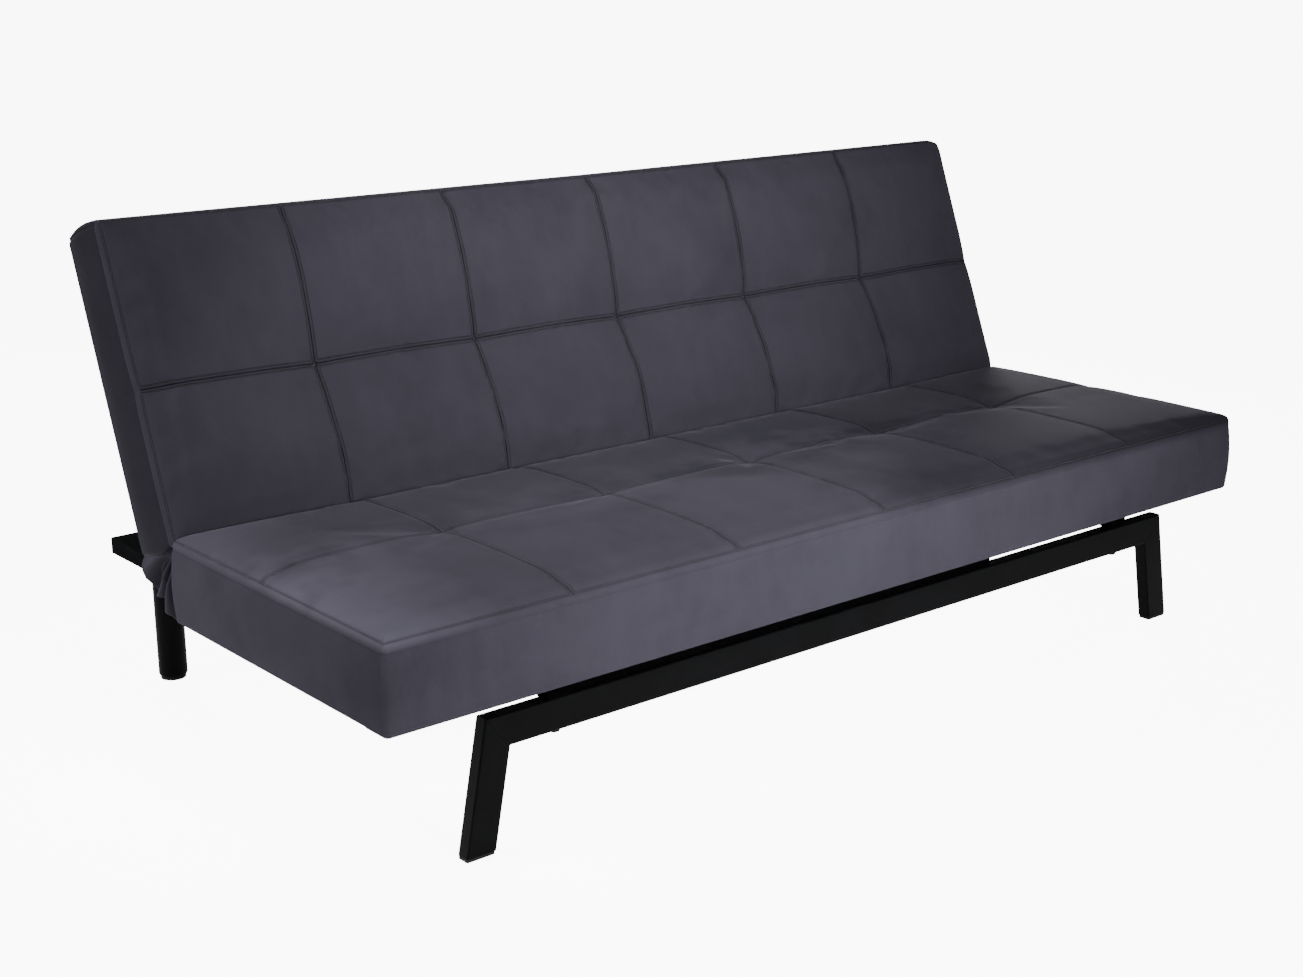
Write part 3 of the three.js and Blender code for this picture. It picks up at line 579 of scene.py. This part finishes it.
def inflate(name, start, hold, slack, pressure, cap, frames=24):
    """The sheet of points after a cloth simulation, swollen by pressure from behind."""
    rows, columns = start.shape[:2]
    obj = mesh_object(f"{name}_cloth", start, grid_faces(rows, columns), None)
    group = obj.vertex_groups.new(name="hold")
    flat = hold.ravel()
    for weight in np.unique(flat):
        group.add([int(i) for i in np.nonzero(flat == weight)[0]], float(weight), "REPLACE")
    cloth = obj.modifiers.new("cloth", "CLOTH")
    s = cloth.settings
    s.quality = 6
    s.mass = 0.35
    s.air_damping = 3.0
    s.tension_stiffness = s.compression_stiffness = 18.0
    s.shear_stiffness = 6.0
    s.bending_stiffness = 5.0
    s.effector_weights.gravity = 0.0
    s.vertex_group_mass = "hold"
    s.pin_stiffness = 4.0
    s.shrink_min = -slack
    s.use_pressure = True
    s.uniform_pressure_force = pressure
    cloth.collision_settings.use_collision = False
    cloth.point_cache.frame_start, cloth.point_cache.frame_end = 1, frames
    scene = bpy.context.scene
    for number in range(1, frames + 1):
        scene.frame_set(number)
    result = obj.evaluated_get(bpy.context.evaluated_depsgraph_get()).to_mesh()
    moved = np.zeros(len(result.vertices) * 3, np.float32)
    result.vertices.foreach_get("co", moved)
    bpy.data.objects.remove(obj)
    scene.frame_set(1)
    shift = moved.reshape(start.shape).astype(float) - start
    length = np.linalg.norm(shift, axis=-1, keepdims=True)
    return start + shift * np.minimum(1, cap / np.maximum(length, 1e-9))


def boundary(grid):
    """The grid's outer points in order round it."""
    return np.concatenate([grid[0, :-1], grid[:-1, -1], grid[-1, :0:-1], grid[:0:-1, 0]])


def outward(loop):
    """Unit directions pointing out of a closed loop in plan."""
    run = np.roll(loop, -1, axis=0) - np.roll(loop, 1, axis=0)
    out = np.stack([run[:, 1], -run[:, 0], np.zeros(len(run))], axis=-1)
    return out / np.linalg.norm(out, axis=1, keepdims=True)


def wrapped(name, face, rings, material, closed):
    """A cushion: its face, then rings of points going round and under it, closed by a flat grid if wanted."""
    rows, columns = face.shape[:2]
    count = rows * columns
    index = np.arange(count).reshape(rows, columns)
    points, faces = [face.reshape(-1, 3)], [grid_faces(rows, columns)]
    last = boundary(index)
    for ring in rings:
        here = count + np.arange(len(ring))
        faces.append(np.stack([last, here, np.roll(here, -1), np.roll(last, -1)], axis=-1))
        points.append(ring)
        last, count = here, count + len(ring)
    if closed:
        inner = rings[-1]
        grid = fill_grid(inner, rows, columns)
        middle = count + np.arange((rows - 2) * (columns - 2)).reshape(rows - 2, columns - 2)
        whole = np.zeros((rows, columns), int)
        whole[1:-1, 1:-1] = middle
        order = boundary(np.arange(rows * columns).reshape(rows, columns))
        whole.ravel()[order] = last
        points.append(grid[1:-1, 1:-1].reshape(-1, 3))
        quads = np.stack([whole[:-1, :-1], whole[1:, :-1], whole[1:, 1:], whole[:-1, 1:]], axis=-1)
        faces.append(quads.reshape(-1, 4))
    return mesh_object(name, np.concatenate(points), np.concatenate(faces), material)


def fill_grid(loop, rows, columns):
    """A flat grid spanning a closed loop of points, by Coons' rule."""
    low, right = loop[:columns - 1], loop[columns - 1:columns + rows - 2]
    high = loop[columns + rows - 2:2 * columns + rows - 3]
    left = loop[2 * columns + rows - 3:]
    low = np.concatenate([low, right[:1]])
    right = np.concatenate([right, high[:1]])
    high = np.concatenate([high, left[:1]])[::-1]
    left = np.concatenate([left, loop[:1]])[::-1]
    u, v = np.linspace(0, 1, columns)[None, :, None], np.linspace(0, 1, rows)[:, None, None]
    ruled = (1 - v) * low[None] + v * high[None] + (1 - u) * left[:, None] + u * right[:, None]
    corners = ((1 - u) * (1 - v) * low[0] + u * (1 - v) * low[-1] + (1 - u) * v * high[0] + u * v * high[-1])
    return ruled - corners


# ---------- placing ----------
def seat_matrix():
    return Matrix.Translation((0, SEAT_LOW.y, SEAT_SEAM_Z))


def back_matrix():
    """a stays along X, b runs up the backrest's face and h comes out of it."""
    up = Vector((0, math.sin(BACK_TILT), math.cos(BACK_TILT)))
    out = Vector((0, -math.cos(BACK_TILT), math.sin(BACK_TILT)))
    turn = Matrix((Vector((1, 0, 0)), up, out)).transposed().to_4x4()
    return Matrix.Translation((0, SEAT_HIGH.y + 0.002, SEAT_SEAM_Z)) @ turn


def placed(obj, matrix):
    obj.data.transform(matrix)
    return obj


def rounded_drop(depth, top, bottom, bulge, steps=14):
    """A border's section as (outward, down) pairs: out past the seam, a swell, a rounded lower edge."""
    pairs = [(-0.0010, 0.0012), (0.0002, 0.0028), (top, 0.006)]
    for t in np.linspace(0.1, 1, steps):
        pairs.append((top + bulge * math.sin(math.pi * t), 0.006 + (depth - bottom - 0.006) * t))
    for turn in np.linspace(0, math.pi / 2, 6)[1:]:
        pairs.append((top - bottom * (1 - math.cos(turn)), depth - bottom + bottom * math.sin(turn)))
    return pairs


def border(edge, hem, section):
    """Rings of points down a cushion's border. The face's edge fades into the plain hem within 30 mm."""
    rings = []
    for push, drop in section:
        share = min(1.0, drop / 0.030)
        ring = edge + (hem - edge) * [share, share, 0] + outward(hem) * push
        ring[:, 2] = edge[:, 2] * (1 - share) - drop
        rings.append(ring)
    return rings


def stitched(name, body, lines, matrix, pitch=0.0038, length=0.0031, radius=0.00045):
    """Rows of stitches as one piece. Each line is (points, unit normals) along a seam."""
    # sections: where along the stitch, how wide and how high
    sections = [(0.0, 0.5, -0.25), (0.2, 1.0, 0.25), (0.8, 1.0, 0.25), (1.0, 0.5, -0.25)]
    sides = 5
    each = sides * len(sections)
    turns = np.linspace(0, 2 * np.pi, sides, endpoint=False)
    points, faces, count = [], [], 0
    for line, normal in lines:
        run = np.concatenate([[0], np.cumsum(np.linalg.norm(np.diff(line, axis=0), axis=1))])
        starts = (np.arange(int(run[-1] / pitch)) + 0.15) * pitch
        at = starts[:, None] + np.array([s[0] for s in sections]) * length
        place = np.stack([np.interp(at, run, line[:, k]) for k in range(3)], axis=-1)
        up = np.stack([np.interp(at, run, normal[:, k]) for k in range(3)], axis=-1)
        along = place[:, -1:] - place[:, :1]
        across = np.cross(along, up)
        across /= np.linalg.norm(across, axis=-1, keepdims=True)
        width = np.array([s[1] for s in sections])[None, :, None, None] * radius
        rise = np.array([s[2] for s in sections])[None, :, None] / 1000
        ring = (np.cos(turns)[:, None] * across[:, :, None] + np.sin(turns)[:, None] * up[:, :, None]) * width
        points.append(((place + up * rise)[:, :, None] + ring).reshape(-1, 3))
        for first in range(count, count + len(starts) * each, each):
            for low in range(first, first + each - sides, sides):
                high = low + sides
                faces += [(low + k, low + (k + 1) % sides, high + (k + 1) % sides, high + k)
                          for k in range(sides)]
            faces += [tuple(first + sides - 1 - k for k in range(sides)),
                      tuple(first + each - sides + k for k in range(sides))]
        count += len(starts) * each
    obj = placed(mesh_object(name, np.concatenate(points), faces, MATERIALS["thread"]), matrix)
    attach(obj, body)
    return obj


def seam_lines(a, b, face, cross, far_edge=True):
    """The stitch lines of a face: both sides of every seam, once round the edge, and a cross at every tuft.
    Without the far edge, they stop before the part that lies against another cushion."""
    normal = normals(face)
    inside = slice(3, -3 if far_edge else int(np.searchsorted(b, b[-1] - SQUEEZED)))
    lines = []
    for s in SEAMS_X:
        for offset in (-SEAM_STITCH, SEAM_STITCH):
            i = np.abs(a - s - offset).argmin()
            lines.append((face[inside, i], normal[inside, i]))
        i, j = np.abs(a - s).argmin(), np.abs(b - cross).argmin()
        for turn in (-1, 1):
            k = np.arange(-4, 5)
            lines.append((face[j + turn * k, i + k], normal[j + turn * k, i + k]))
    rows = [cross - SEAM_STITCH, cross + SEAM_STITCH, EDGE_STITCH] + [b[-1] - EDGE_STITCH] * far_edge
    for place in rows:
        i = np.abs(b - place).argmin()
        lines.append((face[i, 3:-3], normal[i, 3:-3]))
    for place in (a[0] + EDGE_STITCH, a[-1] - EDGE_STITCH):
        i = np.abs(a - place).argmin()
        lines.append((face[inside, i], normal[inside, i]))
    return lines


def seat_cushion():
    panel = Panel(SEAT_DEPTH, SEAT_CROSS, crown=0.032, roll=0.020, valley=0.0010, tuft_depth=0.0065,
                  tuft_reach=0.036, corners=(0.007, 0.028), slack=0.002, pressure=0.9, grip=0.03, give=0.0035,
                  left_draw=0.5, groove=0.80, pinch=0.0008, marks=SEAT_MARKS,
                  folds=puckers(SEAT_CROSS, (28, 62, 118, 158, 205, 335), 0.046, -1.3, 4.5))
    a, b, face = panel.surface("seat")
    edge = boundary(face)
    hem = panel.hem(a, b)
    sag = 0.0012 * (edge[:, 1] < 0.05)
    rings = border(edge, hem, rounded_drop(SEAT_THICK + 0.001, 0.0012, 0.004, 0.004))
    for ring in rings:
        down, front = -ring[:, 2] / SEAT_THICK, edge[:, 1] < 0.02
        ring[:, 2] -= sag * down ** 2
        crease = 0.0028 * np.exp(-((ring[:, 0] - CREASE_X) / 0.0032) ** 2) * bumpy(down - 0.45, 0.38)
        tuck = -0.0030 * np.exp(-((ring[:, 0] - TUCK_X) / 0.0030) ** 2) * bumpy(down - 0.17, 0.06)
        ring[:, 1] -= (crease + tuck) * front
    for inward in (0.004, 0.012, 0.022, 0.030):
        rings.append(rings[-1] - outward(hem) * (inward * 0.6))
    cover = wrapped("seat_upholstery", face, rings, MATERIALS["velvet_seat"], closed=False)
    cover = placed(cover, seat_matrix())
    panel.paint_seam_shade(cover, a, b)
    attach(cover, "seat")
    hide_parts("seat_cover")
    stitched("seat_stitching", "seat", seam_lines(a, b, face, SEAT_CROSS, far_edge=False), seat_matrix())


# creases on the backrest: puckers at the tufts, and a few slanting folds low down by the last seam
BACK_FOLDS = puckers(BACK_CROSS, (12, 42, 138, 168, 196, 224, 318, 345), 0.044, -1.4, 4.0) + [
    (0.50, 0.012, 0.575, 0.085, 2.2, 9), (0.535, 0.008, 0.612, 0.060, -2.0, 8),
    (0.570, 0.004, 0.628, 0.040, 2.0, 7), (0.645, 0.006, 0.720, 0.050, 1.8, 8),
    (0.66, 0.10, 0.74, 0.175, 1.4, 10), (-0.915, 0.03, -0.905, 0.47, -2.0, 12),
]


def back_cushion():
    panel = Panel(BACK_LENGTH, BACK_CROSS, crown=0.022, roll=0.015, valley=0.0026,
                  tuft_depth=0.0155, tuft_reach=0.060, corners=(0.009, 0.034), slack=0.006,
                  pressure=2.5, grip=0.10, give=0.009, lift=0.005, folds=BACK_FOLDS)
    a, b, face = panel.surface("back")
    edge = boundary(face)
    rings = border(edge, panel.hem(a, b), rounded_drop(BACK_THICK + 0.001, 0.0020, 0.007, 0.005, steps=8))
    cover = wrapped("back_upholstery", face, rings, MATERIALS["velvet_back"], closed=True)
    cover = placed(cover, back_matrix())
    panel.paint_seam_shade(cover, a, b)
    # painted shade: the backrest's ends take the darker copy of the velvet
    cover.data.materials.append(MATERIALS["velvet_painted_shade_ends"])
    whole = (face.shape[0] - 1) * (face.shape[1] - 1)
    for polygon in list(cover.data.polygons)[whole + 2 * len(edge):whole + len(rings) * len(edge)]:
        polygon.material_index = 1 if abs(polygon.normal.x) > 0.5 else 0
    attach(cover, "backrest")
    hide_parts("back_cover")
    stitched("back_stitching", "backrest", seam_lines(a, b, face, BACK_CROSS), back_matrix())


def gusset(name, side):
    """The slack flap over a hinge: velvet gathered at the crease, falling in a fan of folds."""
    apex = Vector((0, SEAT_HIGH.y + 0.002, SEAT_SEAM_Z - 0.004))
    fan = np.radians(np.linspace(-1, 77, 79))
    reach = np.interp(np.degrees(fan), [-2, 6, 14, 22, 32, 45, 56, 62, 69, 77],
                      [0.116, 0.118, 0.110, 0.100, 0.104, 0.112, 0.131, 0.126, 0.110, 0.098])
    angle = np.degrees(fan)
    fold = (np.exp(-((angle - 15) / 5.0) ** 2) + 0.9 * np.exp(-((angle - 33) / 5.0) ** 2)
            + 0.8 * np.exp(-((angle - 66) / 10.0) ** 2))
    across, down = np.meshgrid(fan, np.linspace(0.02, 1, 36))
    radius = down * reach[None, :]
    y, z = apex.y + np.sin(across) * radius, apex.z - np.cos(across) * radius
    clear = 0.9395 + 0.0050 * np.exp(-(np.hypot(y - PIVOT.y, z - PIVOT.z) / 0.018) ** 4)
    out = 0.9400 + 0.0130 * fold[None, :] * np.clip(down * 1.8, 0, 1) + 0.0014 * np.sin(down * 7 + across * 9)
    out = np.maximum(out, clear)
    outer = np.stack([side * out, y, z], axis=-1)
    inner = outer - [side * 0.0014, 0, 0]
    rows, columns = outer.shape[:2]
    count = rows * columns
    index = np.arange(count).reshape(rows, columns)
    front = grid_faces(rows, columns)
    ring = boundary(index)
    walls = np.stack([ring, np.roll(ring, -1), np.roll(ring, -1) + count, ring + count], axis=-1)
    faces = np.concatenate([front, front[:, ::-1] + count, walls[:, ::-1]])
    if side > 0:
        faces = faces[:, ::-1]
    obj = mesh_object(f"{name}_velvet", np.concatenate([outer.reshape(-1, 3), inner.reshape(-1, 3)]), faces,
                      MATERIALS["velvet_gusset"])
    # painted shade in the hollows between the folds, fading out towards the crease
    fold_shade = np.clip(1 - 1.3 * fold, 0, 1)[None, :] * np.clip(down * 3, 0, 1)
    obj.data.attributes.new("seam_and_fold_shade", "FLOAT", "POINT").data.foreach_set(
        "value", np.concatenate([fold_shade.ravel(), fold_shade.ravel()]).astype(np.float32))
    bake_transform(obj)
    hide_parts(name)


def underside():
    """Dust cloth stapled under the seat, sagging a little between the runners, and its staples."""
    low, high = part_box("seat_lining")
    x, y = np.meshgrid(np.linspace(low.x + 0.006, high.x - 0.006, 190),
                       np.linspace(low.y + 0.008, high.y - 0.001, 60))
    across = np.clip(1 - np.abs(x) / 0.735, 0, 1)                     # flat from the runners outwards
    along = np.clip((y - low.y - 0.055) / (high.y - low.y - 0.09), 0, 1)
    sag = np.abs(np.sin(np.pi * x / 0.368)) ** 0.8 * np.sin(np.pi * along) * smooth_step(across * 9)
    ripple = 0.0006 * np.sin(x * 90 + 4 * np.sin(y * 14)) * np.sin(np.pi * along) * smooth_step(across * 9)
    lower = np.stack([x, y, low.z - 0.0068 * sag - np.abs(ripple)], axis=-1)
    upper = lower + [0, 0, 0.0010]
    rows, columns = x.shape
    count = rows * columns
    index = np.arange(count).reshape(rows, columns)
    top = grid_faces(rows, columns)
    ring = boundary(index)
    walls = np.stack([ring, ring + count, np.roll(ring, -1) + count, np.roll(ring, -1)], axis=-1)
    faces = np.concatenate([top[:, ::-1], top + count, walls[:, ::-1]])
    points = np.concatenate([lower.reshape(-1, 3), upper.reshape(-1, 3)])
    cloth = mesh_object("seat_dust_cloth", points, faces, MATERIALS["lining"])
    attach(cloth, "seat")
    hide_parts("seat_lining")
    boxes, quads = [], []
    places = [(px, py, 0.0) for px in np.arange(-0.87, 0.9, 0.06) for py in (low.y + 0.035, high.y - 0.014)]
    places += [(px, py, 1.0) for py in np.arange(-0.44, 0.03, 0.06) for px in (-0.917, 0.917)]
    for px, py, turned in places:
        w, d = (0.0006, 0.0060) if turned else (0.0060, 0.0006)
        first = len(boxes)
        boxes += [(px + i * w, py + j * d, low.z + k * 0.0006)
                  for k in (-1, 1) for j in (-1, 1) for i in (-1, 1)]
        quads += [tuple(first + n for n in face) for face in
                  ((0, 2, 3, 1), (4, 5, 7, 6), (0, 1, 5, 4), (2, 6, 7, 3), (0, 4, 6, 2), (1, 3, 7, 5))]
    staples = mesh_object("dust_cloth_staples", boxes, quads, MATERIALS["zinc_plate"], smooth=False)
    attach(staples, "seat")


seat_cushion()
back_cushion()
gusset("gusset_left", -1)
gusset("gusset_right", 1)
underside()


# ---------- floor, lights and camera ----------
def floor():
    m = Nodes("studio_floor")
    m.colour(m.mix(m.noise(0.8, 2.0, 0.5), (0.86, 0.86, 0.86), (0.9, 0.9, 0.9)))
    m.set(Roughness=0.9, Emission_Color=(1.0, 1.0, 1.0, 1.0))
    seen = m.add("ShaderNodeLightPath").outputs["Is Camera Ray"]
    m.link(m.ramp(seen, 0.0, 1.0, 0.2, 9.0), m.shader.inputs["Emission Strength"])
    size = 90.0
    points = [(-size, -size, -0.0005), (size, -size, -0.0005), (size, size, -0.0005), (-size, size, -0.0005)]
    obj = mesh_object("floor", points, [(0, 1, 2, 3)], m.material, smooth=False)


def softbox(name, at, aim, size, power, spread=180.0):
    light = bpy.data.lights.new(name, "AREA")
    light.shape = "RECTANGLE"
    light.size, light.size_y = size
    light.energy = power
    light.spread = math.radians(spread)
    obj = bpy.data.objects.new(name, light)
    obj.location = at
    obj.rotation_euler = (Vector(aim) - Vector(at)).to_track_quat("-Z", "Y").to_euler()
    bpy.context.scene.collection.objects.link(obj)


def world(strength, seen):
    """Even white surroundings, as bright as the floor where the camera looks past it."""
    w = bpy.data.worlds.new("studio")
    w.use_nodes = True
    tree = w.node_tree
    ray, level = tree.nodes.new("ShaderNodeLightPath"), tree.nodes.new("ShaderNodeMapRange")
    level.inputs["To Min"].default_value, level.inputs["To Max"].default_value = strength, seen
    tree.links.new(ray.outputs["Is Camera Ray"], level.inputs["Value"])
    tree.links.new(level.outputs[0], tree.nodes["Background"].inputs["Strength"])
    tree.nodes["Background"].inputs["Color"].default_value = (1, 1, 1, 1)
    bpy.context.scene.world = w


CAMERA_AT = (-2.215, SEAT_LOW.y - 2.065, 1.260)
CAMERA_YAW = math.radians(39.82)     # from +Y towards +X
CAMERA_PITCH = math.radians(15.84)   # down
CAMERA_ROLL = math.radians(-0.20)
LENS = 54.13                         # millimetres on a 36 mm wide sensor


def camera():
    data = bpy.data.cameras.new("camera")
    data.lens = LENS
    data.sensor_width = 36.0
    obj = bpy.data.objects.new("camera", data)
    ahead = Vector((math.sin(CAMERA_YAW) * math.cos(CAMERA_PITCH),
                    math.cos(CAMERA_YAW) * math.cos(CAMERA_PITCH), -math.sin(CAMERA_PITCH)))
    turn = ahead.to_track_quat("-Z", "Y").to_matrix().to_4x4() @ Matrix.Rotation(CAMERA_ROLL, 4, "Z")
    obj.matrix_world = Matrix.Translation(CAMERA_AT) @ turn
    bpy.context.scene.collection.objects.link(obj)
    bpy.context.scene.camera = obj


floor()
world(0.08, 9.0)
softbox("key", (-0.4, -3.8, 1.5), (-0.14, -0.45, 0.36), (1.4, 1.0), 20, spread=40.0)
softbox("upper", (0.7, -3.4, 2.3), (0.25, 0.25, 0.85), (1.0, 0.8), 3.0, spread=34.0)
softbox("top", (-0.5, -0.6, 3.2), (-0.40, -0.25, 0.4), (1.2, 1.0), 6, spread=60.0)
softbox("side", (-3.0, 0.8, 1.6), (-0.9, 0.0, 0.32), (0.9, 0.9), 10, spread=56.0)
softbox("rear", (0.9, 4.6, 1.9), (0.0, 0.3, 0.45), (1.8, 1.2), 34, spread=70.0)
softbox("far_side", (3.0, 2.7, 1.4), (0.95, 0.0, 0.4), (1.2, 1.0), 18, spread=56.0)
camera()
